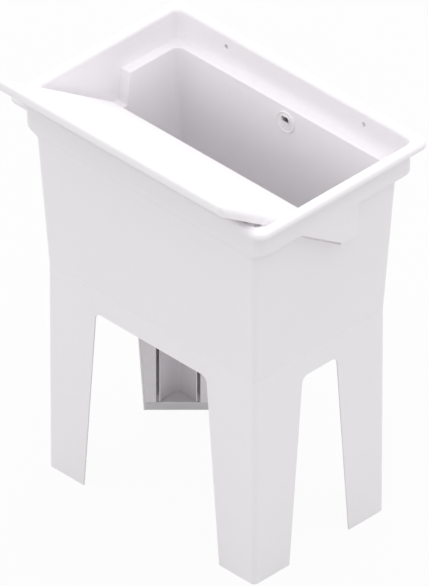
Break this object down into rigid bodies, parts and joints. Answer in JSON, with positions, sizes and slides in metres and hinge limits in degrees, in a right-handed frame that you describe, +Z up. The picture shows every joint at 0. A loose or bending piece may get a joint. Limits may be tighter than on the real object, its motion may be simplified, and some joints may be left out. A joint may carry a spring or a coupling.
{
  "type": "utility laundry sink",
  "caption": "Deep rectangular laundry tub on a four-legged moulded stand, with a loose sloping washboard, an overflow and a bottle trap.",
  "frame": {"origin": "bottom centre of the whole sink, on the floor", "axes": "+X to the right along the length, +Y to the wall behind, +Z up"},
  "size_m": [0.67, 0.5198, 0.9331],
  "materials": {
    "tub_plastic": "satin moulded",
    "stand_plastic": "satin moulded",
    "board_plastic": "satin moulded",
    "cover_plastic": "gloss moulded",
    "pipe_plastic": "semi-gloss moulded",
    "steel": "brushed",
    "brass": "machined",
    "seal_rubber": "matte",
    "plug_rubber": "matte"
  },
  "bodies": {
    "sink": {"foot_back_left": "stand_plastic", "foot_back_right": "stand_plastic", "foot_front_left": "stand_plastic", "foot_front_right": "stand_plastic", "overflow_body": "pipe_plastic", "overflow_bottom_nut": "pipe_plastic", "overflow_bottom_seal": "seal_rubber", "overflow_cover": "cover_plastic", "overflow_pipe": "pipe_plastic", "overflow_seal": "seal_rubber", "overflow_top_nut": "pipe_plastic", "overflow_top_seal": "seal_rubber", "stand": "stand_plastic", "stand_screws": "steel", "strainer_dish": "steel", "strainer_seal": "seal_rubber", "trap_body": "pipe_plastic", "trap_cup": "pipe_plastic", "trap_cup_seal": "seal_rubber", "trap_gland_nut": "pipe_plastic", "trap_gland_seal": "seal_rubber", "trap_inlet_nut": "pipe_plastic", "trap_inlet_pipe": "pipe_plastic", "trap_inlet_washer": "seal_rubber", "trap_outlet_nut": "pipe_plastic", "trap_outlet_pipe": "pipe_plastic", "trap_outlet_seal": "seal_rubber", "tub": "tub_plastic", "waste_body": "pipe_plastic", "waste_nut": "brass", "waste_screw": "steel", "waste_seal": "seal_rubber"},
    "board": {"washboard": "board_plastic"},
    "plug": {"drain_plug": "plug_rubber"}
  },
  "joints": [
    {"name": "washboard_lift", "type": "slide", "parent": "sink", "child": "board", "axis": [0, 0, 1], "range_m": [0, 0.16]},
    {"name": "plug_lift", "type": "slide", "parent": "sink", "child": "plug", "axis": [0, 0, 1], "range_m": [0, 0.06]}
  ]
}
